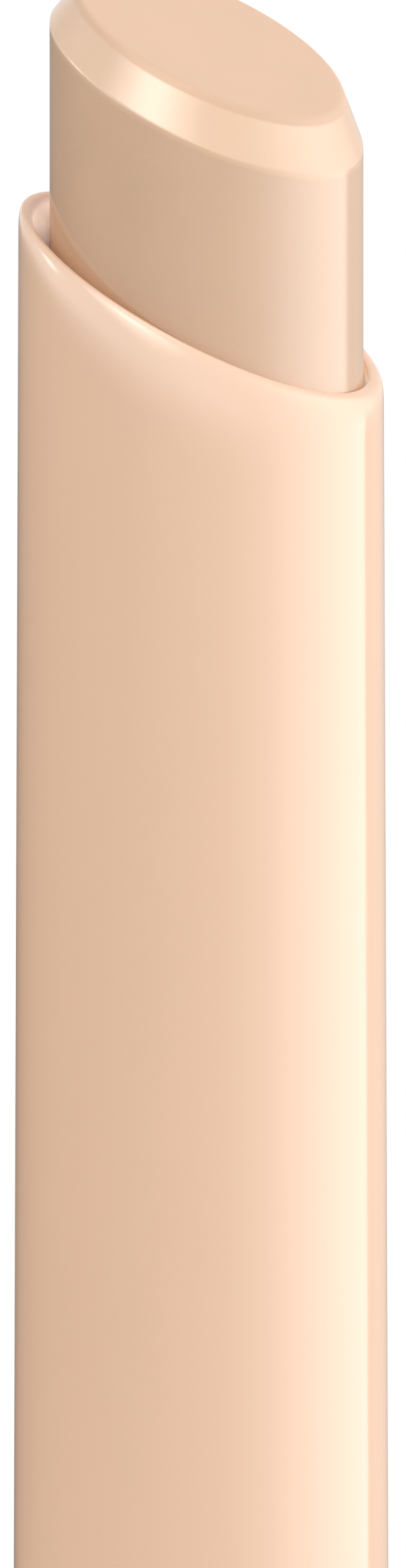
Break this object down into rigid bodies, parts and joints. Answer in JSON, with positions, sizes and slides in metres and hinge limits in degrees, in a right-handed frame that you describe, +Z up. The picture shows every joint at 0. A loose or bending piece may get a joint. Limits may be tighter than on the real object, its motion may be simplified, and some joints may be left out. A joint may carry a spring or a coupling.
{
  "type": "concealer stick",
  "caption": "Uncapped twist-up concealer stick: round tapered barrel with a slanted rounded rim, slant-tipped bullet part way out, and a turning base with a feed screw.",
  "frame": {"origin": "middle of the base's flat lower face, on the stick's axis", "axes": "+Z up the stick's axis from the base to the bullet; -Y towards the low side of the slanted rim"},
  "size_m": [0.0116, 0.0116, 0.0941],
  "materials": {
    "shell": "glossy peach-beige moulded plastic",
    "concealer": "smooth creamy wax with a soft sheen",
    "moulded": "natural white moulded acetal",
    "weight": "turned steel slug",
    "ring": "dark silicone O-ring"
  },
  "bodies": {
    "barrel": {"barrel": "shell", "guide_sleeve": "moulded", "brake_ring": "ring"},
    "base": {"twist_base": "shell", "base_core": "moulded", "base_weight": "weight", "feed_screw": "moulded", "thrust_washer": "moulded"},
    "bullet_carrier": {"concealer_bullet": "concealer", "bullet_cup": "moulded", "plunger": "moulded", "feed_nut": "moulded"}
  },
  "joints": [
    {"name": "bullet_slide", "type": "slide", "parent": "barrel", "child": "bullet_carrier", "axis": [0, 0, 1], "range_m": [-0.00862, 0.012]},
    {"name": "base_turn", "type": "hinge", "parent": "barrel", "child": "base", "pos_m": [0, 0, 0.008], "axis": [0, 0, 1], "range_deg": [-621, 865]}
  ],
  "couplings": [
    {"joint": "base_turn", "follows": "bullet_slide", "rad_per_m": 1256.6}
  ]
}
